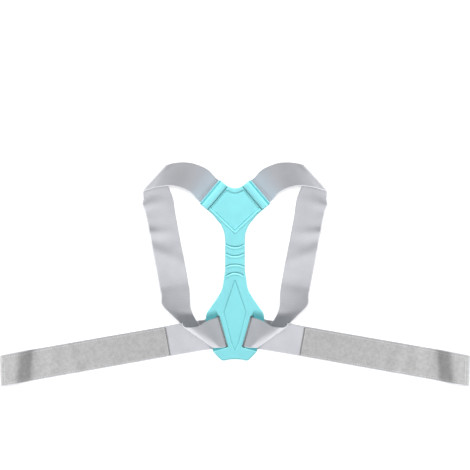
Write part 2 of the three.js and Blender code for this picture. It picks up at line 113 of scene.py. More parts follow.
def add_world():
    world = bpy.data.worlds.new("studio")
    world.use_nodes = True
    background = world.node_tree.nodes["Background"]
    background.inputs["Color"].default_value = (1.0, 1.0, 1.0, 1.0)
    background.inputs["Strength"].default_value = WORLD_STRENGTH
    bpy.context.scene.world = world


def new_material(name, colour, roughness):
    material = bpy.data.materials.new(name)
    material.use_nodes = True
    shader = material.node_tree.nodes["Principled BSDF"]
    shader.inputs["Base Color"].default_value = (*colour, 1.0)
    shader.inputs["Roughness"].default_value = roughness
    return material, shader


def add_floor():
    half = FLOOR_SIZE / 2
    mesh = bpy.data.meshes.new("floor")
    corners = [(-half, -half, 0), (half, -half, 0), (half, half, 0), (-half, half, 0)]
    mesh.from_pydata(corners, [], [(0, 1, 2, 3)])
    floor = bpy.data.objects.new("floor", mesh)
    bpy.context.scene.collection.objects.link(floor)
    material, _ = new_material("white_paper", PAPER_COLOUR, 0.95)
    mesh.materials.append(material)
    return floor


lamps = {name: add_light(name=name, **values) for name, values in LIGHTS.items()}
add_world()
floor = add_floor()
bpy.context.scene.view_settings.view_transform = "Standard"
print("lights:", ", ".join(lamps))

# %% [markdown]
# ## The sizes that the pieces share
# These are the plate's and the straps' own sizes, in millimetres. The plate's slots and pockets and the
# straps that pass through them are worked out from the same values, so they fit each other.

# %% Sizes in millimetres
PLATE_THICKNESS = 6.0
ARM_MOUTH = np.array([-33.0, 104.5])
ARM_YAW = 50.0
NOTCH_HEIGHT = 108.7
NECK_HALF = 12.7
NECK_TOP = 41.6
NECK_BOTTOM = 2.6
FOOT_HALF = 17.0
FOOT_DEPTH = 115.0
FOOT_HOLLOW = 2.2
BAR_WIDTH = 12.8
POCKET_DEPTH = 9.5
POCKET_FLOOR = 1.6
POCKET_WALL = 1.2
SLOT_MIDDLE = np.array([-16.6, -77.5])
SLOT_LEAN = 15.7
SLOT_WIDTH = 4.0
EAR_BAR_WIDTH = 16.0
EAR_BAR_THICKNESS = 2.2
EAR_RAMP = 9.0
STRAP_WIDTH = 40.0
STRAP_THICKNESS = 1.6
STRAP_GAP = 0.3
SLOT_END_GAP = 1.2
ARM_FIT = 0.93


def plan(yaw):
    return np.array([math.cos(math.radians(yaw)), math.sin(math.radians(yaw))])


BAR_ALONG = plan(ARM_YAW)
BAR_OUT = plan(ARM_YAW + 90)
BAR_LENGTH = STRAP_WIDTH * ARM_FIT + 2 * (STRAP_GAP + POCKET_WALL)
POCKET_HEIGHT = STRAP_THICKNESS + 2 * STRAP_GAP
SLOT_ALONG = plan(SLOT_LEAN - 90)
SLOT_OUT = plan(SLOT_LEAN + 180)
SLOT_LENGTH = STRAP_WIDTH + 2 * SLOT_END_GAP
EAR_BAR_FLOOR = STRAP_THICKNESS + STRAP_GAP
EAR_BAR_TOP = EAR_BAR_FLOOR + EAR_BAR_THICKNESS
print("bar", round(BAR_LENGTH, 1), "mm long, slot", round(SLOT_LENGTH, 1), "mm long")

# %% [markdown]
# ## The plate's outline
# The plate is symmetric, so only the side at negative X is written down. The two flares between neck,
# arms and ears are smooth curves through a few points, and the corners are rounded with small arcs. An
# outline of short, even steps is what the triangulation below needs.

# %% Outline of the plate
HEAD_FLARE = [(0.67, 0.83), (0.47, 0.68), (0.23, 0.51), (0.11, 0.35), (0.03, 0.21)]
EAR_FLARE = [(0.06, 0.16), (0.16, 0.36), (0.39, 0.52), (0.70, 0.69), (0.93, 0.82)]
OUTLINE_STEP = 0.9


def smooth_through(points, step):
    """Even steps along a Catmull-Rom curve through the points, the last point left out."""
    points = [np.asarray(p, float) for p in points]
    padded = [2 * points[0] - points[1], *points, 2 * points[-1] - points[-2]]
    out = []
    for a, b, c, d in zip(padded, padded[1:], padded[2:], padded[3:]):
        count = max(1, round(np.linalg.norm(c - b) / step))
        for k in range(count):
            t = k / count
            out.append(0.5 * (2 * b + (c - a) * t + (2 * a - 5 * b + 4 * c - d) * t**2
                              + (3 * b - a - 3 * c + d) * t**3))
    return out


def corner(before, at, after, radius, step):
    """An arc-like rounding of one corner."""
    before, at, after = (np.asarray(p, float) for p in (before, at, after))
    a = at + (before - at) / np.linalg.norm(before - at) * radius
    b = at + (after - at) / np.linalg.norm(after - at) * radius
    count = max(3, round(1.5 * radius / step))
    return [(1 - t)**2 * a + 2 * t * (1 - t) * at + t**2 * b for t in np.linspace(0, 1, count + 1)]


def half_outline():
    half_bar = BAR_LENGTH / 2
    mouth_top = ARM_MOUTH + BAR_ALONG * half_bar
    mouth_foot = ARM_MOUTH - BAR_ALONG * half_bar
    inner_top = mouth_top - BAR_OUT * BAR_WIDTH
    inner_foot = mouth_foot - BAR_OUT * BAR_WIDTH
    ear = SLOT_MIDDLE + SLOT_OUT * (SLOT_WIDTH / 2 + EAR_BAR_WIDTH)
    ear_top = ear - SLOT_ALONG * SLOT_LENGTH * 0.40
    ear_foot = ear + SLOT_ALONG * SLOT_LENGTH * 0.52
    neck_top, neck_foot = np.array([-NECK_HALF, NECK_TOP]), np.array([-NECK_HALF, NECK_BOTTOM])
    head = [neck_top + (inner_foot - neck_top) * share for share in map(np.array, HEAD_FLARE)]
    flare = [neck_foot + (ear_top - neck_foot) * share for share in map(np.array, EAR_FLARE)]
    foot = np.array([-FOOT_HALF, -FOOT_DEPTH])
    bottom = np.array([0.0, -FOOT_DEPTH + FOOT_HOLLOW])
    notch = [np.array([0.0, NOTCH_HEIGHT]), np.array([-5.5, NOTCH_HEIGHT + 1.2]), inner_top]
    return [
        *smooth_through(notch, OUTLINE_STEP),
        *corner(inner_top, mouth_top, mouth_foot, 1.0, OUTLINE_STEP),
        *corner(mouth_top, mouth_foot, inner_foot, 1.0, OUTLINE_STEP),
        *smooth_through([inner_foot, *head, neck_top], OUTLINE_STEP),
        *smooth_through([neck_top, neck_foot], OUTLINE_STEP),
        *smooth_through([neck_foot, *flare, ear_top], OUTLINE_STEP),
        *corner(ear_top - [0.5, -6.0], ear_top, ear_foot, 3.0, OUTLINE_STEP),
        *corner(ear_top, ear_foot, foot, 2.0, OUTLINE_STEP),
        *corner(ear_foot, foot, bottom, 3.0, OUTLINE_STEP),
        *smooth_through([foot + [3.0, 0.2], [-8.0, bottom[1] - 0.6], bottom], OUTLINE_STEP),
        bottom,
    ]


def evened(points, step):
    """The same closed line in even steps, so that long straight runs get points too."""
    loop = np.array([*points, points[0]])
    lengths = np.linalg.norm(np.diff(loop, axis=0), axis=1)
    at = np.concatenate([[0], np.cumsum(lengths)])
    count = round(at[-1] / step)
    places = np.linspace(0, at[-1], count, endpoint=False)
    return np.stack([np.interp(places, at, loop[:, k]) for k in (0, 1)], axis=1)


def full_outline():
    half = half_outline()
    other = [point * [-1, 1] for point in half[1:-1]][::-1]
    return evened([*half, *other], OUTLINE_STEP)


def slot_outline():
    along, out = SLOT_ALONG * SLOT_LENGTH / 2, SLOT_OUT * SLOT_WIDTH / 2
    corners = [SLOT_MIDDLE - along - out, SLOT_MIDDLE + along - out,
               SLOT_MIDDLE + along + out, SLOT_MIDDLE - along + out]
    points = []
    for i in range(4):
        points += corner(corners[i - 1], corners[i], corners[(i + 1) % 4], 0.7, OUTLINE_STEP)
    return evened(points, OUTLINE_STEP)


outline = full_outline()
slots = [slot_outline(), slot_outline()[::-1] * [-1, 1]]
print("outline points:", len(outline), "and", len(slots[0]), "for each slot")

# %% [markdown]
# ## The plate's relief as a height over each point
# Every visible form of the plate is seen from above, so one height for each place describes it: the
# raised bars, the sunk shield and rhombus, the bowed grooves of the neck, the low bars beside the slots
# and the rounded rim. Distances to lines give soft steps, as a mould's small radii do. A boolean of
# blocks would give sharp steps instead and needs bevels afterwards.

# %% Distances to lines
def soft_step(x):
    t = np.clip(x, 0.0, 1.0)
    return t * t * (3 - 2 * t)


def distance_to_line(points, line, closed=True):
    """Distance from each point to a line of short steps."""
    ends = np.roll(line, -1, axis=0) if closed else line[1:]
    starts = line if closed else line[:-1]
    best = np.full(len(points), np.inf)
    for a, b in zip(starts, ends):
        run = b - a
        t = np.clip((points - a) @ run / max(run @ run, 1e-12), 0.0, 1.0)
        best = np.minimum(best, np.linalg.norm(points - a - t[:, None] * run, axis=1))
    return best


def inside(points, line):
    """Whether each point lies in a closed outline."""
    crossings = np.zeros(len(points), bool)
    for a, b in zip(line, np.roll(line, -1, axis=0)):
        if a[1] == b[1]:
            continue
        spans = (a[1] > points[:, 1]) != (b[1] > points[:, 1])
        x = a[0] + (points[:, 1] - a[1]) / (b[1] - a[1]) * (b[0] - a[0])
        crossings ^= spans & (points[:, 0] < x)
    return crossings


def depth_inside(points, line):
    """Distance inwards from an outline, negative outside."""
    return distance_to_line(points, line) * np.where(inside(points, line), 1.0, -1.0)


def folded(points):
    """The points moved to the side at negative X."""
    return points * [1, 1] * np.where(points[:, :1] > 0, -1, 1) ** [1, 0]


print("half of the neck's width in mm:", round(depth_inside(np.array([[0.0, 20.0]]), outline)[0], 1))

# %% [markdown]
# ## Sunk areas, raised bars and grooves
# A profile across each arm gives the raised bar. Narrow grooves and raised lines are all one kind of
# bead, placed by its distance from a line, so one function makes them all.

# %% Lines and grooves of the relief
SHIELD_SINK = 0.9
SHIELD_SLOPE = 1.6
SHIELD_TIP = 51.5
SHIELD_RIM = {"at": -0.5, "rise": 0.55, "half": 0.7}
SHIELD_RIM_END = {"top": 90, "fade": 6}
SHIELD_RIDGE = {"at": 3.0, "rise": 0.6, "half": 0.5}
SHIELD_RIDGE_END = {"top": 84, "fade": 8}
GROOVE = {"at": 0.0, "rise": -0.9, "half": 0.55}
GROOVE_RIDGE = {"at": -2.2, "rise": 0.35, "half": 1.1}
GROOVE_REACH = NECK_HALF * 0.94
NECK_GROOVES = [
    {"height": 0.80, "bow": 0.11},
    {"height": 0.50, "bow": 0.10},
    {"height": 0.165, "bow": -0.08},
    {"height": -0.125, "bow": -0.12},
]
RHOMBUS = [(0.0, -10.8), (-14.3, -52.0), (-4.3, -92.0), (0.0, -102.0), (4.3, -92.0), (14.3, -52.0)]
RHOMBUS_SINK = 0.45
RHOMBUS_SLOPE = 0.7
RHOMBUS_GROOVE = {"at": 0.0, "rise": -0.75, "half": 0.55}
RIM_RADIUS = 1.1
REAR_RADIUS = 0.8
BAR_PROFILE = [
    (0.0, 5.0), (0.4, 5.4), (1.1, 5.4), (1.7, 4.8), (2.4, 4.5), (3.0, 4.7),
    (3.5, 5.6), (4.2, 6.7), (5.4, 7.5), (7.0, 7.9), (9.0, 8.0), (11.2, 7.9),
    (12.5, 7.6), (13.1, 6.9), (13.6, 5.4), (14.0, 5.1), (14.8, 5.4),
]
BAR_LEAVE = 13.8


def bead(distance, at, rise, half):
    """A narrow raised line, or a groove where the rise is negative."""
    return rise * np.exp(-(((distance - at) / half) ** 2))


def below(points, top, fade):
    """1 low on the plate and 0 above a place on it, with a soft change."""
    return soft_step((top - points[:, 1]) / fade)


def shield_outline():
    inward = -BAR_OUT * (BAR_PROFILE[-1][0] - 0.4)
    top = ARM_MOUTH + BAR_ALONG * BAR_LENGTH * 0.40 + inward
    foot = ARM_MOUTH - BAR_ALONG * BAR_LENGTH * 0.42 + inward
    dip = np.array([-3.5, NOTCH_HEIGHT - 4.6])
    return np.array([(0.0, NOTCH_HEIGHT - 5.2), dip, top, foot, (0.0, SHIELD_TIP),
                     foot * [-1, 1], top * [-1, 1], dip * [-1, 1]])


def groove_line(x, height, bow):
    """Where a bowed groove runs across the neck."""
    middle = NECK_BOTTOM + height * (NECK_TOP - NECK_BOTTOM)
    sag = bow * 2 * NECK_HALF
    return middle - sag / 2 + sag * 1.5 * (x / GROOVE_REACH) ** 2


def groove_height(points, height, bow):
    """A bowed groove across the neck, with a low ridge under it."""
    away = points[:, 1] - groove_line(points[:, 0], height, bow)
    fade = soft_step((GROOVE_REACH + 0.6 - np.abs(points[:, 0])) / 1.5)
    return fade * (bead(away, **GROOVE) + bead(away, **GROOVE_RIDGE))


print("bowed grooves across the neck:", len(NECK_GROOVES))

# %% [markdown]
# ## One height for the face and one for the rear
# The parts of the relief are added up: sunk areas, lines and grooves, then the bars, and last the low
# bars beside the slots, which leave room for the strap. At the rim the two heights are drawn together.

# %% Heights of the face and the rear
def ear_sink(side):
    """0 on the plate's face and 1 on the low bar beside the slot, with a ramp above it."""
    out = (side - SLOT_MIDDLE) @ SLOT_OUT
    along = (side - SLOT_MIDDLE) @ SLOT_ALONG
    down = soft_step((along + SLOT_LENGTH / 2 + EAR_RAMP) / EAR_RAMP)
    down *= soft_step((SLOT_LENGTH / 2 + 0.8 - along) / 0.8) * soft_step((out + 0.9) / 1.4)
    return down * (side[:, 1] < 0)


def face_height(points):
    side = folded(points)
    height = np.full(len(points), PLATE_THICKNESS)
    shield = depth_inside(points, shield_outline())
    height -= SHIELD_SINK * soft_step(shield / SHIELD_SLOPE)
    height += bead(shield, **SHIELD_RIM) * below(side, **SHIELD_RIM_END)
    height += bead(shield, **SHIELD_RIDGE) * below(side, **SHIELD_RIDGE_END)
    for groove in NECK_GROOVES:
        height += groove_height(points, **groove)
    rhombus = depth_inside(points, np.array(RHOMBUS))
    height -= RHOMBUS_SINK * soft_step(rhombus / RHOMBUS_SLOPE)
    height += bead(rhombus, **RHOMBUS_GROOVE)
    from_mouth = -(side - ARM_MOUTH) @ BAR_OUT
    beside = np.abs((side - ARM_MOUTH) @ BAR_ALONG)
    profile = np.interp(from_mouth, *np.array(BAR_PROFILE).T)
    on_bar = (from_mouth < BAR_PROFILE[-1][0]) & (beside < BAR_LENGTH / 2 + 0.5)
    on_bar &= side[:, 1] > NECK_TOP
    leave = soft_step(from_mouth - BAR_LEAVE)
    height = np.where(on_bar, profile * (1 - leave) + height * leave, height)
    return height - (height - EAR_BAR_TOP) * ear_sink(side)


def rear_height(points):
    side = folded(points)
    out = (side - SLOT_MIDDLE) @ SLOT_OUT
    along = np.abs((side - SLOT_MIDDLE) @ SLOT_ALONG)
    up = soft_step((SLOT_LENGTH / 2 + 2.4 - along) / 0.6) * soft_step((out + 0.4) / 0.6)
    return EAR_BAR_FLOOR * up * (side[:, 1] < 0)


def rounded(face, rear, depth):
    """Both heights, drawn together at the rim in a quarter circle each."""
    room = (face - rear) * 0.48

    def drop(radius):
        radius = np.minimum(radius, room)
        return radius - np.sqrt(np.maximum(radius**2 - np.maximum(radius - depth, 0) ** 2, 0))

    return face - drop(RIM_RADIUS), rear + drop(REAR_RADIUS)


print("face at the neck's middle, in mm:", round(face_height(np.array([[0.0, 20.0]]))[0], 1))

# %% [markdown]
# ## Triangles that follow the forms
# A plain grid would leave saw teeth at every step. So the points are laid along the rim in rows that
# close up towards it, along every line of the relief, and in an even triangular grid between them. The
# triangulation joins them all, and the same triangles serve the rear, so the two sides close at the rim.

# %% Points of the plate in plan
RIM_ROWS = (0.12, 0.35, 0.7, 1.1, 1.6, 2.3)
RELIEF_ROWS = (-0.8, -0.4, 0.0, 0.4, 0.8)
RELIEF_STEP = 0.8
GRID_STEP = 1.0


def offset_rows(line, offsets, closed=True):
    """Copies of a line, moved sideways."""
    ahead = np.roll(line, -1, axis=0) - np.roll(line, 1, axis=0)
    if not closed:
        ahead[0], ahead[-1] = line[1] - line[0], line[-1] - line[-2]
    normal = np.stack([-ahead[:, 1], ahead[:, 0]], axis=1)
    normal /= np.maximum(np.linalg.norm(normal, axis=1), 1e-9)[:, None]
    return [line + normal * offset for offset in offsets]


def straight(a, b, step=0.9):
    count = max(2, round(np.linalg.norm(np.asarray(b) - a) / step))
    return np.linspace(a, b, count + 1)


def mirrored(line):
    return line * [-1, 1]


def relief_lines():
    """Lines of the relief on both sides, each with the offsets at which it needs points."""
    ridge_rows = [SHIELD_RIDGE["at"] + offset for offset in RELIEF_ROWS]
    rows = offset_rows(evened(shield_outline(), RELIEF_STEP), [*RELIEF_ROWS, *ridge_rows])
    rows += offset_rows(evened(np.array(RHOMBUS), RELIEF_STEP), RELIEF_ROWS)
    for distance, _ in BAR_PROFILE[1:]:
        middle = ARM_MOUTH - BAR_OUT * distance
        half = BAR_ALONG * BAR_LENGTH / 2
        line = straight(middle - half, middle + half)
        rows += [line, mirrored(line)]
    for groove in NECK_GROOVES:
        x = np.linspace(-NECK_HALF, NECK_HALF, 32)
        line = np.stack([x, groove_line(x, **groove)], axis=1)
        rows += offset_rows(line, RELIEF_ROWS, closed=False)
    for along in (SLOT_LENGTH / 2, SLOT_LENGTH / 2 + 0.4, SLOT_LENGTH / 2 + 0.8):
        start = SLOT_MIDDLE + SLOT_ALONG * along
        line = straight(start, start + SLOT_OUT * EAR_BAR_WIDTH)
        rows += [line, mirrored(line)]
    return rows


def plan_points():
    """Every point of the plate in plan; those of the outlines come first."""
    fixed = [outline, *slots]
    both_ways = [sign * distance for distance in RIM_ROWS for sign in (1, -1)]
    loose = [row for line in fixed for row in offset_rows(line, both_ways)]
    loose += relief_lines()
    x = np.arange(-50, 50, GRID_STEP)
    y = np.arange(-118, 122, GRID_STEP * math.sqrt(0.75))
    grid = np.array([(a + (k % 2) * GRID_STEP / 2, b) for k, b in enumerate(y) for a in x])
    rows = np.concatenate(loose)
    keep = clear_of_rims(rows, 0.1)
    rows = thinned(rows[keep], 0.28)
    grid = grid[clear_of_rims(grid, RIM_ROWS[-1] + 0.4)]
    near = distance_between(grid, rows) > GRID_STEP * 0.55
    return np.concatenate([*fixed, rows, grid[near]])


def clear_of_rims(points, distance):
    ok = inside(points, outline) & (distance_to_line(points, outline) > distance)
    for slot in slots:
        ok &= ~inside(points, slot) & (distance_to_line(points, slot) > distance)
    return ok


def thinned(points, size):
    """At most one point in each small cell, the first one met."""
    seen = {}
    for i, cell in enumerate(map(tuple, np.floor(points / size).astype(int))):
        seen.setdefault(cell, i)
    return points[sorted(seen.values())]


def distance_between(points, others):
    """Distance from each point to the nearest of the others."""
    tree = kd_tree(others)
    return np.array([tree.find((x, y, 0))[2] for x, y in points])


def kd_tree(points):
    tree = KDTree(len(points))
    for i, (x, y) in enumerate(points):
        tree.insert((x, y, 0), i)
    tree.balance()
    return tree


plate_points = plan_points()
print("points of the plate in plan:", len(plate_points))

# %% [markdown]
# ## Face, rear and wall in one closed mesh
# Each triangle is used twice, on the face and turned over on the rear. Edges that only one triangle uses
# are the rim, and a wall of a few rows closes it.

# %% Mesh of the plate
WALL_ROWS = 3


def loops_of():
    """Index loops of the outlines, which come first among the points."""
    loops, start = [], 0
    for line in (outline, *slots):
        loops.append(list(range(start, start + len(line))))
        start += len(line)
    return loops


def triangles_in_plan(points):
    edges = [(loop[i], loop[(i + 1) % len(loop)]) for loop in loops_of() for i in range(len(loop))]
    found = geometry.delaunay_2d_cdt([Vector(p) for p in points], edges, [], 0, 1e-6)
    triangles = np.array([f for f in found[2] if len(f) == 3])
    places = np.array([tuple(v) for v in found[0]])
    middles = places[triangles].mean(axis=1)
    keep = inside(middles, outline)
    for slot in slots:
        keep &= ~inside(middles, slot)
    a, b, c = (places[triangles[:, k]] for k in range(3))
    turn = (b[:, 0] - a[:, 0]) * (c[:, 1] - a[:, 1]) - (b[:, 1] - a[:, 1]) * (c[:, 0] - a[:, 0])
    triangles = np.where((turn > 0)[:, None], triangles, triangles[:, ::-1])[keep]
    return places, triangles


def rim_edges(triangles):
    """Directed edges that only one triangle uses."""
    seen = {}
    for a, b, c in triangles:
        for edge in ((a, b), (b, c), (c, a)):
            seen[edge] = True
    return [(a, b) for a, b in seen if (b, a) not in seen]


def new_object(name, vertices, faces):
    mesh = bpy.data.meshes.new(name)
    mesh.from_pydata([tuple(v) for v in vertices], [], [tuple(int(i) for i in f) for f in faces])
    mesh.update()
    piece = bpy.data.objects.new(name, mesh)
    bpy.context.scene.collection.objects.link(piece)
    mesh.shade_smooth()
    return piece


def plate_mesh(points):
    places, triangles = triangles_in_plan(points)
    depth = distance_to_line(places, outline)
    for slot in slots:
        depth = np.minimum(depth, distance_to_line(places, slot))
    face, rear = rounded(face_height(places), rear_height(places), depth)
    count = len(places)
    rim = rim_edges(triangles)
    rim_points = sorted({i for edge in rim for i in edge})
    layers = {i: [i] for i in rim_points}
    vertices = [np.column_stack([places, face]), np.column_stack([places, rear])]
    extra = []
    for i in rim_points:
        for k in range(1, WALL_ROWS):
            layers[i].append(2 * count + len(extra))
            t = k / WALL_ROWS
            extra.append((*places[i], face[i] * (1 - t) + rear[i] * t))
        layers[i].append(count + i)
    faces = [tuple(t) for t in triangles] + [tuple(t[::-1] + count) for t in triangles]
    for a, b in rim:
        for k in range(WALL_ROWS):
            faces.append((layers[b][k], layers[a][k], layers[a][k + 1], layers[b][k + 1]))
    points = np.concatenate([*vertices, np.array(extra)]) * MM
    return new_object("moulded_plate", points, faces)


plate = plate_mesh(plate_points)
print("plate faces:", len(plate.data.polygons))

# %% [markdown]
# ## Pockets in the arms
# Each strap's end sits in a pocket behind the raised bar. The height mesh can't hold an overhang, so the
# pocket is cut out afterwards with a boolean, whose result is kept and the cutter thrown away.

# %% Cut the pockets
def pocket_cutter(side):
    half = (BAR_LENGTH - 2 * POCKET_WALL) / 2
    low, high = POCKET_FLOOR, POCKET_FLOOR + POCKET_HEIGHT
    corners = []
    for distance, along in ((-1.5, -half), (-1.5, half), (POCKET_DEPTH, half), (POCKET_DEPTH, -half)):
        at = (ARM_MOUTH - BAR_OUT * distance + BAR_ALONG * along) * [side, 1]
        corners.append(at)
    vertices = [(*c, z) for z in (low, high) for c in corners]
    faces = [(0, 1, 2, 3), (7, 6, 5, 4)] + [(i + 4, (i + 1) % 4 + 4, (i + 1) % 4, i) for i in range(4)]
    if side > 0:
        faces = [f[::-1] for f in faces]
    return new_object("cutter", np.array(vertices) * MM, faces)


def cut(piece, cutter):
    modifier = piece.modifiers.new("cut", "BOOLEAN")
    modifier.object = cutter
    modifier.operation = "DIFFERENCE"
    modifier.solver = "EXACT"
    graph = bpy.context.evaluated_depsgraph_get()
    result = bpy.data.meshes.new_from_object(piece.evaluated_get(graph))
    piece.modifiers.clear()
    old = piece.data
    piece.data = result
    result.name = piece.name
    bpy.data.meshes.remove(old)
    bpy.data.objects.remove(cutter)


def mark_sharp(mesh, degrees):
    """Edges steeper than the angle stay sharp in smooth shading."""
    mesh.shade_smooth()
    mesh.set_sharp_from_angle(angle=math.radians(degrees))


for plate_side in (1, -1):
    cut(plate, pocket_cutter(plate_side))
mark_sharp(plate.data, 50)
print("plate faces with pockets:", len(plate.data.polygons))

# %% [markdown]
# ## The straps' route
# Each strap is one band. It leaves the arm's pocket, humps over the shoulder, folds over a diagonal,
# runs down beside the plate, folds back over a second diagonal, drops through the ear's slot, goes round
# the low bar and runs out as the waist strap. A cloth simulation could settle a band, but it wouldn't
# keep the photo's folds, so the route is a table of rulings: straight lines across the band. Rulings that
# turn in plan make the diagonal folds. The side at negative X is described, and the other mirrors it.

# %% Tables of the route
SHOULDER_REACH = 72.0
EAR_REACH = 50.0
STRAP_LIFT = 25.0
WAIST_LENGTH = 291.0
WAIST_YAW = 190.0
END_LIFT = 8.5


def table(columns, rows):
    """Each row as a dictionary under the columns' names."""
    return [dict(zip(columns.split(), row)) for row in rows]


SHOULDER_RUN = table("out up lift yaw tilt width", [
    (0.06, 0.05, 0.12, 51, 0, 0.93),
    (0.18, 0.18, 0.32, 56, -11, 0.94),
    (0.40, 0.28, 0.48, 65, -20, 0.94),
    (0.61, 0.31, 0.49, 62, -23, 0.94),
    (0.82, 0.285, 0.43, 54, -18, 1.03),
])
UPPER_FOLD = {
    "out": 0.99, "up": 0.245, "yaw": 48, "length": 1.14, "far_radius": 0.22, "near_radius": 0.09,
    "far_lift": 0.28, "near_lift": 0.17, "advance": 0.76, "start": 20, "stop": 180, "side": 90,
}
UNDER_RUN = table("out up lift yaw tilt width", [
    (0.985, -0.035, 0.075, 40, 0, 1.03),
    (0.912, -0.235, 0.13, 27, -1, 1.00),
])
SIDE_RUN = table("down lift yaw tilt width", [
    (0.16, 0.17, 13, -3, 0.93),
    (0.42, 0.08, 9, -1, 0.93),
    (0.56, 0.14, 16, -3, 0.94),
    (0.74, 0.10, 18, -2, 0.95),
    (0.90, 0.13, 12, -4, 0.94),
])
FOLD_RUN = table("out up lift yaw tilt width", [
    (1.21, 1.00, 0.28, 7, -9, 0.93),
    (1.18, 0.65, 0.45, -8, -16, 0.96),
    (0.97, 0.34, 0.44, -16, -25, 0.91),
    (0.80, 0.12, 0.44, -27, -22, 1.04),
])
LOWER_FOLD = {
    "out": 0.625, "up": -0.135, "yaw": -36, "length": 1.18, "far_radius": 0.24, "near_radius": 0.09,
    "far_lift": 0.84, "near_lift": 0.29, "advance": 0.90, "start": 150, "stop": 10, "side": -90,
}
EAR_RUN = table("out up lift yaw tilt width", [
    (0.35, -0.12, 0.64, -46, -14, 1.02),
    (0.20, -0.06, 0.41, -60, -5, 1.00),
])
WAIST_RUN = table("along lift yaw width", [
    (0.12, 0.0, -79, 0.99),
    (0.30, 0.0, -80, 0.99),
    (0.55, 0.0, -80, 1.00),
    (0.76, 0.02, -81, 1.00),
    (0.86, 0.08, -92, 1.03),
    (0.895, 0.60, -96, 1.05),
    (0.925, 1.05, -95.5, 1.04),
    (0.96, 1.09, -94, 1.02),
    (1.00, 1.04, -88.4, 1.00),
])
tables = (SHOULDER_RUN, UNDER_RUN, SIDE_RUN, FOLD_RUN, EAR_RUN, WAIST_RUN)
print("rulings in the tables:", sum(map(len, tables)))

# %% [markdown]
# ## From the tables to rulings
# A ruling is a pair of points: the band's far edge, away from the plate on the side run, and its near
# edge. A roll turns the ends of a ruling round an axis with a radius of its own at each end, which gives
# the open, cone-like folds of springy elastic.

# %% Rulings
ROLL_STEP = 22.5


def spatial(flat, z=0.0):
    return np.array([flat[0], flat[1], z])


def ruling(centre, yaw, tilt, width):
    half = spatial(plan(yaw) * math.cos(math.radians(tilt)), math.sin(math.radians(tilt))) * width / 2
    return centre - half, centre + half


def ruling_of(centre, row):
    return ruling(centre, row["yaw"], row.get("tilt", 0), row["width"] * STRAP_WIDTH)


def placed(anchor, reach, rows):
    return [ruling_of(spatial(anchor + np.array([-r["out"], r["up"]]) * reach, r["lift"] * STRAP_LIFT), r)
            for r in rows]


def roll(far, near, out, far_radius, near_radius, advance, start, stop):
    along = (near - far) * [1, 1, 0]
    along /= np.linalg.norm(along)
    steps = math.ceil(abs(stop - start) / ROLL_STEP)

    def end(point, radius, angle):
        return (point + out * radius * math.sin(angle) + along * advance * radius * (angle - math.pi / 2)
                + np.array([0, 0, radius * math.cos(angle)]))

    angles = np.radians(np.linspace(start, stop, steps + 1))
    return [(end(far, far_radius, a), end(near, near_radius, a)) for a in angles]


def diagonal_fold(anchor, reach, fold):
    centre = spatial(anchor + np.array([-fold["out"], fold["up"]]) * reach)
    along, out = spatial(plan(fold["yaw"])), spatial(plan(fold["yaw"] + fold["side"]))
    half = along * fold["length"] * STRAP_WIDTH / 2

    def end(edge, from_centre):
        radius = fold[f"{edge}_radius"] * STRAP_LIFT
        lift = [0, 0, fold[f"{edge}_lift"] * STRAP_LIFT]
        return centre + from_centre - out * (radius + STRAP_THICKNESS / 2) + lift, radius

    (far, far_radius), (near, near_radius) = end("far", -half), end("near", half)
    return roll(far, near, out, far_radius, near_radius, -fold["advance"], fold["start"], fold["stop"])


print("degrees between two rulings of a roll:", ROLL_STEP)

# %% [markdown]
# ## The whole route
# The runs through the pocket and the slot are worked out from the plate's own sizes, and the other
# runs come from the tables. One after another they are the strap's rulings from end to end.

# %% Rulings of one strap
SLOT_BULGE = 1.1
SLOT_ENTRY_ANGLE = 30
SLOT_LEAD = 0.25


def pocket_run():
    floor = POCKET_FLOOR + STRAP_GAP + STRAP_THICKNESS / 2
    centres = [spatial(ARM_MOUTH - BAR_OUT * inward, floor)
               for inward in (POCKET_DEPTH - STRAP_GAP, POCKET_DEPTH / 2, 0.0)]
    return [ruling(centre, ARM_YAW, 0, STRAP_WIDTH * ARM_FIT) for centre in centres]


def slot_run():
    half = EAR_BAR_THICKNESS / 2
    radius = half + STRAP_GAP + STRAP_THICKNESS / 2
    centre = spatial(SLOT_MIDDLE + SLOT_OUT * (SLOT_WIDTH / 2 + half), EAR_BAR_FLOOR + half)
    edge = spatial(SLOT_ALONG * STRAP_WIDTH / 2)
    out = -spatial(SLOT_OUT) * SLOT_BULGE
    turn = roll(centre - edge, centre + edge, out, radius, radius, 0.0, SLOT_ENTRY_ANGLE, 180)
    lead = spatial(SLOT_OUT) * EAR_BAR_WIDTH * SLOT_LEAD
    return [*turn, tuple(p + lead for p in turn[-1])]


def waist_run():
    start, heading = spatial(SLOT_MIDDLE, STRAP_THICKNESS / 2), spatial(plan(WAIST_YAW))
    rows = []
    for r in WAIST_RUN:
        centre = start + heading * r["along"] * WAIST_LENGTH + spatial((0, 0), r["lift"] * END_LIFT)
        rows.append(ruling_of(centre, r))
    return rows


def side_run(top, bottom):
    a, b = sum(top) / 2, sum(bottom) / 2
    return [ruling_of(spatial(a + (b - a) * r["down"], r["lift"] * STRAP_LIFT), r) for r in SIDE_RUN]


def strap_rows():
    under = placed(ARM_MOUTH, SHOULDER_REACH, UNDER_RUN)
    fold = placed(SLOT_MIDDLE, EAR_REACH, FOLD_RUN)
    return [
        *pocket_run(), *placed(ARM_MOUTH, SHOULDER_REACH, SHOULDER_RUN),
        *diagonal_fold(ARM_MOUTH, SHOULDER_REACH, UPPER_FOLD), *under,
        *side_run(under[-1], fold[0]), *fold, *diagonal_fold(SLOT_MIDDLE, EAR_REACH, LOWER_FOLD),
        *placed(SLOT_MIDDLE, EAR_REACH, EAR_RUN), *slot_run(), *waist_run(),
    ]


rulings = strap_rows()
print("rulings of one strap:", len(rulings))

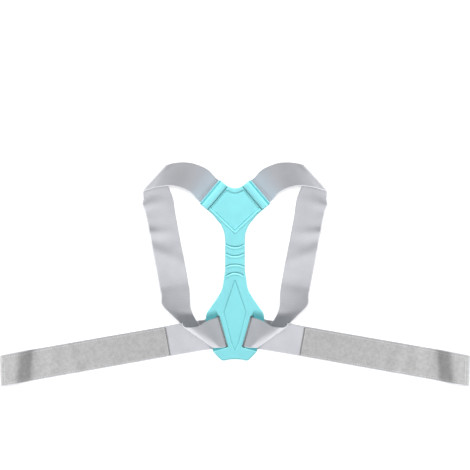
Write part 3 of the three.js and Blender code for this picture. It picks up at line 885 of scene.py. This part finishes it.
# %% [markdown]
# ## Smooth edges through the rulings
# Smooth curves join the rulings, with knots at the distances between their middles, so far and near
# edge keep step.

# %% Curves of both edges
STRAP_STEP = 1.2


def stations_through(rows, step):
    middles = np.array([(a + b) / 2 for a, b in rows])
    gaps = np.maximum(np.linalg.norm(np.diff(middles, axis=0), axis=1), 0.5)
    knots = np.concatenate([[0], np.cumsum(gaps)])
    pairs = np.array([np.concatenate(row) for row in rows])
    before = np.maximum(np.arange(len(rows)) - 1, 0)
    after = np.minimum(np.arange(len(rows)) + 1, len(rows) - 1)
    slopes = (pairs[after] - pairs[before]) / (knots[after] - knots[before])[:, None]
    out, distance = [], []
    for i in range(len(rows) - 1):
        span = knots[i + 1] - knots[i]
        count = max(1, round(span / step))
        for t in np.arange(count) / count:
            out.append(pairs[i] * (2 * t**3 - 3 * t**2 + 1) + slopes[i] * span * (t**3 - 2 * t**2 + t)
                       + pairs[i + 1] * (3 * t**2 - 2 * t**3) + slopes[i + 1] * span * (t**3 - t**2))
            distance.append(knots[i] + t * span)
    out.append(pairs[-1])
    distance.append(knots[-1])
    out = np.array(out)
    return out[:, :3], out[:, 3:], np.array(distance)


far_edge, near_edge, run_length = stations_through(rulings, STRAP_STEP)
print("strap length in mm:", round(run_length[-1]))

# %% [markdown]
# ## A band between the edges
# The band gets columns across its width, rounded edges, and two numbers on every point: how far along
# and how far across the flat strap it lies. The weave is drawn from those, so it follows the folds.
# Ripples are swells at set distances along the strap, higher at one edge than at the other.

# %% Cross-section and ripples
STRAP_COLUMNS = 22
COLUMN_SPREAD = 0.92
RIPPLES = table("at length far near lean", [
    (123, 8, 4.8, 0.2, 7),
    (164, 7, 5.2, 0.4, 3),
    (195, 9, 2.6, 1.2, 14),
    (212, 11, -0.6, 1.4, 4),
    (268, 7, -0.3, 1.8, -3),
    (548, 8, 0.7, 1.1, -3),
    (572, 9, 0.9, 0.4, 3),
])


def normals_of(far, near):
    middle = (far + near) / 2
    ahead = np.gradient(middle, axis=0)
    normal = np.cross(near - far, ahead)
    return normal / np.linalg.norm(normal, axis=1)[:, None]


def float_attribute(mesh, name, values):
    layer = mesh.attributes.new(name, "FLOAT", "POINT")
    layer.data.foreach_set("value", np.asarray(values, np.float32))


def ripple_height(distance, share):
    """How far ripples raise the cloth at a share from -1 at the far edge to 1 at the near edge."""
    height = np.zeros(len(distance))
    for ripple in RIPPLES:
        swell = np.exp(-(((distance - ripple["at"] - ripple["lean"] * share) / ripple["length"]) ** 2))
        far_part, near_part = ((1 - share) / 2) ** 1.6, ((1 + share) / 2) ** 1.6
        height += swell * (ripple["far"] * far_part + ripple["near"] * near_part)
    return height


def cross_section(half, low, high, columns):
    """Places across and heights round a band with rounded edges."""
    edge = (high - low) / 2
    flat = half - edge
    shares = np.sin(np.linspace(-1, 1, columns) * math.pi / 2 * COLUMN_SPREAD)
    shares /= shares[-1]
    angles = [math.radians(a) for a in (60, 20, -20, -60)]
    bow = [(edge * math.cos(a), (low + high) / 2 + edge * math.sin(a)) for a in angles]
    ring = [(s * flat, high) for s in shares]
    ring += [(flat + aside, height) for aside, height in bow]
    ring += [(s * flat, low) for s in shares[::-1]]
    ring += [(-flat - aside, height) for aside, height in bow[::-1]]
    return ring


print("ripples on each strap:", len(RIPPLES))

# %% [markdown]
# ## The two straps
# One maker serves straps, panels and patch: a section goes along the edges from station to station,
# and a last face closes each end. A taper thins both ends of a panel down, as its seam does.

# %% Band maker
TAPER_SHARE = 0.15


def band_object(name, far, near, distance, low, high, margin, columns, side, taper=0.0):
    """A closed band between two offsets along the cloth's normal, with rounded edges."""
    normal = normals_of(far, near)
    across = near - far
    width = np.linalg.norm(across, axis=1)
    unit = across / width[:, None]
    ring = cross_section(width / 2 - margin, low, high, columns)
    points, places = [], []
    fullness = np.ones(len(far))
    if taper:
        from_end = np.minimum(distance - distance[0], distance[-1] - distance)
        fullness = TAPER_SHARE + (1 - TAPER_SHARE) * soft_step(from_end / taper)
    for place, height in ring:
        place = np.broadcast_to(place, len(far))
        height = (high + (height - high) * fullness)[:, None]
        surface = (far + near) / 2 + unit * place[:, None] + normal * height
        surface[:, 2] += ripple_height(distance, np.clip(place * 2 / width, -1, 1))
        points.append(surface)
        places.append(place * STRAP_WIDTH / width)
    count, total = len(ring), len(far)
    grid = np.stack(points, axis=1) * [side, 1, 1]
    vertices = grid.reshape(-1, 3) * MM
    faces = []
    for i in range(total - 1):
        for k in range(count):
            n = (k + 1) % count
            faces.append((i * count + k, i * count + n, (i + 1) * count + n, (i + 1) * count + k))
    faces.append(tuple(range(count))[::-1])
    faces.append(tuple((total - 1) * count + k for k in range(count)))
    if side > 0:
        faces = [f[::-1] for f in faces]
    piece = new_object(name, vertices, faces)
    float_attribute(piece.data, "along", np.repeat(distance, count))
    float_attribute(piece.data, "across", np.stack(places, axis=1).reshape(-1))
    mark_sharp(piece.data, 60)
    return piece


SIDES = {"left": 1, "right": -1}
straps = {}
for side_name, side_sign in SIDES.items():
    straps[side_name] = band_object(
        f"elastic_{side_name}", far_edge, near_edge, run_length, -STRAP_THICKNESS / 2, STRAP_THICKNESS / 2,
        0.0, STRAP_COLUMNS, side_sign,
    )
print("faces of one strap:", len(straps["left"].data.polygons))

# %% [markdown]
# ## Loop panels and hook patch
# The waist runs carry a long panel of brushed loop fabric, and the hook patch that fastens to it sits
# under one end. Both are bands on the strap's own rulings, so they follow its bend.

# %% Panels and patch
PANEL_THICKNESS = 0.9
PANEL_START = 0.239
PANEL_END_MARGIN = 1.0
PANEL_SIDE_MARGIN = 1.4
HOOK_LENGTH = 22.0
HOOK_THICKNESS = 1.0
PANEL_COLUMNS = 14
PANEL_TAPER = 1.6


def between(start, stop):
    """The strap's rulings between two distances along it."""
    within = run_length[(run_length > start + 0.7) & (run_length < stop - 0.7)]
    places = np.concatenate([[start], within, [stop]])
    far, near = (np.stack([np.interp(places, run_length, edge[:, k]) for k in range(3)], axis=1)
                 for edge in (far_edge, near_edge))
    return far, near, places


strap_end = run_length[-1]
panel_run = between(strap_end - WAIST_LENGTH * (1 - PANEL_START), strap_end - PANEL_END_MARGIN)
hook_run = between(strap_end - PANEL_END_MARGIN - HOOK_LENGTH, strap_end - PANEL_END_MARGIN)
on_strap = STRAP_THICKNESS / 2
panels = {
    side_name: band_object(f"loop_fabric_{side_name}", *panel_run, -on_strap - PANEL_THICKNESS, -on_strap,
                           PANEL_SIDE_MARGIN, PANEL_COLUMNS, side_sign, taper=PANEL_TAPER)
    for side_name, side_sign in SIDES.items()
}
hook_patch = band_object("hook_patch", *hook_run, on_strap, on_strap + HOOK_THICKNESS,
                         PANEL_SIDE_MARGIN, PANEL_COLUMNS, 1)
print("panel faces:", len(panels["left"].data.polygons))

# %% [markdown]
# ## Stitches
# Pale thread holds the loop panels to the straps, hems the ends and closes the straps beside the raised
# bars. Each stitch is a short, slightly arched capsule that half sinks in the cloth. A bump map would
# look the same from far away, but real stitches still hold when the view comes close.

# %% Rows of stitches
STITCH_LENGTH = 2.3
STITCH_PITCH = 3.1
THREAD_RADIUS = 0.3
STITCH_SIDES = 6
HEM = 5.7
ROW_MARGIN = 2.0
BAR_ROW_PLACE = 12.2
BAR_ROW_HALF = STRAP_WIDTH * 0.44


def on_band(distance, across, height):
    """A point over the left strap's middle surface, in millimetres."""
    far, near, normal = (np.array([np.interp(distance, run_length, edge[:, k]) for k in range(3)])
                         for edge in (far_edge, near_edge, normals_of(far_edge, near_edge)))
    width = np.linalg.norm(near - far)
    point = (far + near) / 2 + (near - far) / width * across + normal * height
    point[2] += ripple_height(np.array([distance]), across * 2 / width)[0]
    return point


def stitch_mesh(start, end, up):
    """Rings of one stitch between two points, and the faces between them."""
    run = (end - start) / np.linalg.norm(end - start)
    aside = np.cross(run, up)
    points = []
    for share, fullness in ((0, 0.35), (0.12, 0.85), (0.5, 1.0), (0.88, 0.85), (1, 0.35)):
        centre = start + (end - start) * share + up * 0.6 * share * (1 - share)
        for turn in np.linspace(0, 2 * math.pi, STITCH_SIDES, endpoint=False):
            outward = aside * math.cos(turn) + up * math.sin(turn)
            points.append(centre + outward * THREAD_RADIUS * fullness)
    faces = [(r * STITCH_SIDES + k, r * STITCH_SIDES + (k + 1) % STITCH_SIDES,
              (r + 1) * STITCH_SIDES + (k + 1) % STITCH_SIDES, (r + 1) * STITCH_SIDES + k)
             for r in range(4) for k in range(STITCH_SIDES)]
    ends = [tuple(range(STITCH_SIDES))[::-1], tuple(range(4 * STITCH_SIDES, 5 * STITCH_SIDES))]
    return points, [*faces, *ends]


def stitch_row(start, end, height):
    """Stitches between two places on the cloth, each a distance along and a distance across."""
    start, end = np.array(start, float), np.array(end, float)
    count = int(np.linalg.norm(end - start) / STITCH_PITCH)
    step = (end - start) / count
    for k in range(count):
        first = start + step * (k + 0.12)
        last = first + step * STITCH_LENGTH / STITCH_PITCH
        a, b = on_band(*first, height), on_band(*last, height)
        above = on_band(*first, height * 1.5) - a
        yield stitch_mesh(a, b, above / np.linalg.norm(above))


print("points of one stitch:", 5 * STITCH_SIDES)

# %% [markdown]
# ## Sewing
# The stitches are joined to the cloth's own mesh, so a panel with its stitches stays one piece. A value
# on their points marks them as thread, and the materials give those points the thread's colour.

# %% Sew the rows
def sew(piece, rows, side):
    """Join rows of stitches to a cloth's mesh and mark their points as thread."""
    solid = bmesh.new()
    solid.from_mesh(piece.data)
    thread = solid.verts.layers.float.new("thread")
    count = 0
    for row in rows:
        for points, faces in stitch_row(*row):
            corners = [solid.verts.new(Vector(p * [side, 1, 1]) * MM) for p in points]
            for corner_vertex in corners:
                corner_vertex[thread] = 1.0
            for face in faces:
                order = face if side > 0 else face[::-1]
                solid.faces.new([corners[i] for i in order]).smooth = True
            count += 1
    solid.to_mesh(piece.data)
    solid.free()
    return count


panel_start = panel_run[2][0]
panel_face = -(on_strap + PANEL_THICKNESS)
row_place = STRAP_WIDTH / 2 - PANEL_SIDE_MARGIN - 1.5
first_row, hem_row = panel_start + ROW_MARGIN, strap_end - HEM
panel_rows = [((first_row, place), (hem_row, place), panel_face) for place in (row_place, -row_place)]
panel_rows += [((place, -row_place), (place, row_place), panel_face)
               for place in (first_row, hem_row, strap_end - ROW_MARGIN)]
bar_rows = [((BAR_ROW_PLACE, -BAR_ROW_HALF), (BAR_ROW_PLACE, BAR_ROW_HALF), STRAP_THICKNESS / 2)]
for side_name, side_sign in SIDES.items():
    panel_count = sew(panels[side_name], panel_rows, side_sign)
    bar_count = sew(straps[side_name], bar_rows, side_sign)
print("stitches on each side:", panel_count + bar_count)

# %% [markdown]
# ## Node helpers
# A material is a small graph of nodes. Helpers keep the graphs short: one adds a node and feeds its
# inputs, one does sums, one turns a value smoothly from 0 to 1 between two limits, and others read a
# value from the mesh, make noise, mix two colours or raise a bump. A value is either a number or
# another node's output.

# %% Node helpers
def feed(tree, socket, value):
    if isinstance(value, bpy.types.NodeSocket):
        tree.links.new(value, socket)
    else:
        socket.default_value = value


def add_node(tree, kind, inputs=None, **settings):
    node = tree.nodes.new(kind)
    for name, value in settings.items():
        setattr(node, name, value)
    for name, value in (inputs or {}).items():
        feed(tree, node.inputs[name], value)
    return node


def math_node(tree, operation, *values, clamp=False):
    inputs = dict(enumerate(values))
    return add_node(tree, "ShaderNodeMath", inputs, operation=operation, use_clamp=clamp).outputs[0]


def ramp(tree, value, low, high):
    inputs = {"Value": value, "From Min": low, "From Max": high}
    return add_node(tree, "ShaderNodeMapRange", inputs, interpolation_type="SMOOTHSTEP").outputs[0]


def attribute(tree, name):
    return add_node(tree, "ShaderNodeAttribute", attribute_name=name).outputs["Fac"]


def noise(tree, scale, detail=2.0, roughness=0.5):
    place = add_node(tree, "ShaderNodeTexCoord").outputs["Object"]
    inputs = {"Vector": place, "Scale": scale, "Detail": detail, "Roughness": roughness}
    return add_node(tree, "ShaderNodeTexNoise", inputs).outputs["Fac"]


def mix_colours(tree, factor, first, second):
    inputs = {"Factor": factor}
    node = add_node(tree, "ShaderNodeMix", inputs, data_type="RGBA")
    for socket, value in ((node.inputs[6], first), (node.inputs[7], second)):
        feed(tree, socket, value if isinstance(value, bpy.types.NodeSocket) else (*value, 1.0))
    return node.outputs[2]


def new_group(name, outputs):
    """A node group with outputs only; each output is a pair of a name and a socket type."""
    group = bpy.data.node_groups.new(name, "ShaderNodeTree")
    for output, kind in outputs:
        group.interface.new_socket(output, in_out="OUTPUT", socket_type=kind)
    return group, group.nodes.new("NodeGroupOutput")


def use_group(tree, group):
    return add_node(tree, "ShaderNodeGroup", node_tree=group).outputs


def bump(tree, shader, height, distance):
    inputs = {"Height": height, "Distance": distance, "Strength": 1.0}
    feed(tree, shader.inputs["Normal"], add_node(tree, "ShaderNodeBump", inputs).outputs[0])


print("node helpers ready")

# %% [markdown]
# ## Shade in nooks
# Narrow gaps, such as the slots and the place under a fold, look almost black in the photo, because
# little light gets in. One small group measures how open a place is, and both the cloth and the paper
# under the slots use it.

# %% Nook group
NOOK_REACH = 9.0
NOOK_OPEN = (0.12, 0.72)
PAPER_NOOK_COLOUR = (0.004, 0.03, 0.036)
PAPER_NOOK_LIMIT = 0.4


def nook_group():
    group, output = new_group("nook", [("Open", "NodeSocketFloat")])
    occlusion = add_node(group, "ShaderNodeAmbientOcclusion", {"Distance": NOOK_REACH * MM}, samples=8)
    feed(group, output.inputs["Open"], ramp(group, occlusion.outputs["AO"], *NOOK_OPEN))
    return group


nook = nook_group()


def shade_nooks(tree, colour, dark, limit=1.0):
    """The colour turned dark where a place is less open than the limit."""
    openness = math_node(tree, "DIVIDE", use_group(tree, nook)["Open"], limit, clamp=True)
    return mix_colours(tree, openness, dark, colour)


paper = floor.data.materials[0].node_tree
feed(paper, paper.nodes["Principled BSDF"].inputs["Base Color"],
     shade_nooks(paper, PAPER_COLOUR, PAPER_NOOK_COLOUR, PAPER_NOOK_LIMIT))
print("nooks darken within", NOOK_REACH, "mm")

# %% [markdown]
# ## Turquoise plastic
# The plate is moulded in one opaque, satin turquoise. A mould leaves a fine even grain. Shade is painted
# into the grooves and into the ear's hollow above each slot, where the strap shades it, and a highlight is
# painted along the high edges. The grooves and edges are known from the height function, so they are
# written on the mesh as two values and mixed into the colour.

# %% Plastic of the plate
PLATE_COLOUR = (0.26, 0.81, 0.87)
GROOVE_SHADE_COLOUR = (0.07, 0.42, 0.47)
EDGE_HIGHLIGHT_COLOUR = (0.50, 0.93, 0.96)
EDGE_HIGHLIGHT_SHARE = 0.6
NEIGHBOURS = [
    (0.9, 0), (-0.9, 0), (0, 0.9), (0, -0.9), (0.64, 0.64), (-0.64, 0.64), (0.64, -0.64), (-0.64, -0.64),
]
GROOVE_GAIN = 2.0
GROOVE_MOST = 0.9
EAR_SHADE = 0.95
EDGE_GAIN = 2.4
GROOVES_ABOVE = 3.0
EDGES_ABOVE = 4.0


def relief_values(mesh):
    """How deep in a groove, and how high on a rim, each point of the plate's face is."""
    places = np.array([v.co for v in mesh.vertices]) / MM
    flat, height = places[:, :2], places[:, 2]
    here = face_height(flat)
    around = np.mean([face_height(flat + np.array(step)) for step in NEIGHBOURS], axis=0)
    # Painted shade: the groove value darkens the recesses of the relief.
    groove = np.clip((around - here) * GROOVE_GAIN, 0, GROOVE_MOST)
    # Painted shade of the ear's hollow above each slot, where the strap shades the low bar.
    groove = np.maximum(groove, EAR_SHADE * ear_sink(folded(flat)) ** 2)
    # Painted highlight: the edge value pales the high edges.
    edge = np.clip((here - around) * EDGE_GAIN, 0, 1)
    return groove * (height > GROOVES_ABOVE), edge * (height > EDGES_ABOVE)


def plate_plastic():
    material, shader = new_material("moulded_turquoise", PLATE_COLOUR, 0.38)
    tree = material.node_tree
    shade = ramp(tree, noise(tree, 60.0, 3.0), 0.3, 0.7)
    colour = mix_colours(tree, shade, [c * 0.97 for c in PLATE_COLOUR], [c * 1.02 for c in PLATE_COLOUR])
    # Painted shade in the grooves and the ear's hollow.
    colour = mix_colours(tree, attribute(tree, "groove"), colour, GROOVE_SHADE_COLOUR)
    # Painted highlight along the high edges.
    painted_highlight = math_node(tree, "MULTIPLY", attribute(tree, "rim"), EDGE_HIGHLIGHT_SHARE)
    feed(tree, shader.inputs["Base Color"], mix_colours(tree, painted_highlight, colour, EDGE_HIGHLIGHT_COLOUR))
    grain = {"Value": noise(tree, 900.0), "To Min": 0.34, "To Max": 0.46}
    feed(tree, shader.inputs["Roughness"], add_node(tree, "ShaderNodeMapRange", grain).outputs[0])
    bump(tree, shader, noise(tree, 2500.0, 2.0), 0.00006)
    return material


groove_shade_values, rim_highlight_values = relief_values(plate.data)
float_attribute(plate.data, "groove", groove_shade_values)
float_attribute(plate.data, "rim", rim_highlight_values)
plate.data.materials.clear()
plate.data.materials.append(plate_plastic())
print("points in grooves:", int((groove_shade_values > 0.2).sum()))

# %% [markdown]
# ## Woven elastic
# The band is woven elastic: fine ribs run across it, thin wales run along it, and a smooth, slightly
# paler selvage closes each edge. The two values written on the mesh place the threads in millimetres of
# the flat strap, so they bend with the folds. The same threads serve the bump and a painted shade in the
# low places between the ribs, so they sit in one node group. Beside the plate's bars a bluish tint is
# painted on the strap, standing in for light that the plate throws back.

# %% Weave group and the strap's cloth
RIB_PITCH = 1.9
WALE_PITCH = 1.1
SELVAGE = 1.3
STRAP_COLOUR = (0.46, 0.465, 0.495)
SELVAGE_COLOUR = (0.50, 0.505, 0.535)
THREAD_COLOUR = (0.74, 0.74, 0.75)
PAINTED_BOUNCE_COLOUR = (0.34, 0.43, 0.50)
BESIDE_PLATE = (12.0, 46.0)
PAINTED_BOUNCE_SHARE = 0.6
RIB_SHADE_COLOUR = (0.16, 0.16, 0.19)
RIB_SHADE_SHARE = 0.14
STRAP_NOOK_COLOUR = (0.03, 0.06, 0.066)


def wave(tree, value, pitch):
    """0 to 1 and back over each pitch."""
    turned = math_node(tree, "MULTIPLY", value, 2 * math.pi / pitch)
    return math_node(tree, "MULTIPLY_ADD", math_node(tree, "SINE", turned), 0.5, 0.5)


def falling(tree, value, most):
    """The most where a value is 0, down to 0 where it is 1."""
    return math_node(tree, "MULTIPLY_ADD", value, -most, most)


def weave_group():
    group, output = new_group("weave", [("Height", "NodeSocketFloat"), ("Selvage", "NodeSocketFloat")])
    across, along = attribute(group, "across"), attribute(group, "along")
    ribs, wales = wave(group, along, RIB_PITCH), wave(group, across, WALE_PITCH)
    threads = math_node(group, "MULTIPLY_ADD", math_node(group, "MULTIPLY", ribs, wales), 0.5,
                        math_node(group, "MULTIPLY", ribs, 0.5))
    edge = math_node(group, "ABSOLUTE", across)
    selvage = ramp(group, edge, STRAP_WIDTH / 2 - SELVAGE, STRAP_WIDTH / 2 - SELVAGE / 2)
    feed(group, output.inputs["Height"], math_node(group, "MAXIMUM", threads, selvage))
    feed(group, output.inputs["Selvage"], selvage)
    return group


weave = weave_group()


def strap_cloth():
    material, shader = new_material("woven_elastic", STRAP_COLOUR, 0.8)
    tree = material.node_tree
    threads = use_group(tree, weave)
    patches = ramp(tree, noise(tree, 45.0, 3.0), 0.3, 0.7)
    colour = mix_colours(tree, patches, [c * 0.96 for c in STRAP_COLOUR], [c * 1.04 for c in STRAP_COLOUR])
    # Painted shade in the low places between the ribs.
    rib_shade = falling(tree, threads["Height"], RIB_SHADE_SHARE)
    colour = mix_colours(tree, rib_shade, colour, RIB_SHADE_COLOUR)
    colour = mix_colours(tree, threads["Selvage"], colour, SELVAGE_COLOUR)
    # Painted reflection: a bluish tint beside the bars for light that the plate throws back.
    beside = falling(tree, ramp(tree, attribute(tree, "along"), *BESIDE_PLATE), PAINTED_BOUNCE_SHARE)
    colour = mix_colours(tree, beside, colour, PAINTED_BOUNCE_COLOUR)
    colour = mix_colours(tree, attribute(tree, "thread"), colour, THREAD_COLOUR)
    colour = shade_nooks(tree, colour, STRAP_NOOK_COLOUR)
    feed(tree, shader.inputs["Base Color"], colour)
    shader.inputs["Sheen Weight"].default_value = 0.25
    shader.inputs["Sheen Roughness"].default_value = 0.5
    bump(tree, shader, threads["Height"], 0.00009)
    return material


strap_material = strap_cloth()
for piece in straps.values():
    piece.data.materials.append(strap_material)
print("ribs per strap:", round(run_length[-1] / RIB_PITCH))

# %% [markdown]
# ## Brushed loop fabric
# The panels are brushed to a low grey pile: no thread shows, only small tufts and patches where the pile
# lies another way. Two noises of different size give the tufts and the patches.

# %% Pile of the panels and the patch
LOOP_COLOUR = (0.45, 0.45, 0.45)
HOOK_COLOUR = (0.36, 0.37, 0.39)


def pile_group():
    group, output = new_group("pile", [("Height", "NodeSocketFloat"), ("Shade", "NodeSocketFloat")])
    tufts, patches = noise(group, 900.0, 3.0, 0.6), noise(group, 220.0, 3.0, 0.6)
    height, shade = (
        math_node(group, "MULTIPLY_ADD", tufts, share, math_node(group, "MULTIPLY", patches, rest))
        for share, rest in ((0.6, 0.4), (0.5, 0.5)))
    feed(group, output.inputs["Height"], height)
    feed(group, output.inputs["Shade"], ramp(group, shade, 0.36, 0.64))
    return group


pile = pile_group()


def brushed(name, colour):
    material, shader = new_material(name, colour, 0.95)
    tree = material.node_tree
    tufts = use_group(tree, pile)
    shaded = mix_colours(tree, tufts["Shade"], [c * 0.87 for c in colour], [c * 1.10 for c in colour])
    shaded = mix_colours(tree, attribute(tree, "thread"), shaded, THREAD_COLOUR)
    feed(tree, shader.inputs["Base Color"], shaded)
    shader.inputs["Sheen Weight"].default_value = 0.35
    bump(tree, shader, tufts["Height"], 0.0003)
    return material


for piece in panels.values():
    piece.data.materials.append(brushed("brushed_loops", LOOP_COLOUR))
hook_patch.data.materials.append(brushed("stiff_hooks", HOOK_COLOUR))
print("loop and hook fabrics made")

# %% [markdown]
# ## Each side light on its own side
# Light linking tells a lamp which objects it reaches. The plate gets its own lamp from the neck side,
# and no strap shades it from that lamp. The fills reach the straps and the hook patch only, so the
# panels' bends come out dark, as in the photo. The hook patch gets the lamps of both sides.

# %% Link the side lights
def collection_of(name, pieces):
    collection = bpy.data.collections.new(name)
    for piece in pieces:
        collection.objects.link(piece)
    return collection


def link_light(lamp, pieces, shadows_of=None):
    lamp.light_linking.receiver_collection = collection_of(f"lit_by_{lamp.name}", pieces)
    if shadows_of:
        lamp.light_linking.blocker_collection = collection_of(f"shaded_from_{lamp.name}", shadows_of)


link_light(lamps["neck_side"], [plate], shadows_of=[plate])
link_light(lamps["paper_top"], [floor])
for side_name in SIDES:
    link_light(lamps[f"{side_name}_side"], [hook_patch, straps[side_name], panels[side_name]])
    link_light(lamps[f"{side_name}_fill"], [hook_patch, straps[side_name]])
print("side lights linked")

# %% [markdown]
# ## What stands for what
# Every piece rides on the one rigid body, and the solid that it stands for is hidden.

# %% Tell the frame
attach(plate, "root")
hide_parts("back_plate")
for side_name in SIDES:
    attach(straps[side_name], "root")
    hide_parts(f"strap_{side_name}")
    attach(panels[side_name], "root")
    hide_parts(f"loop_panel_{side_name}")
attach(hook_patch, "root")
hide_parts("hook_tab")
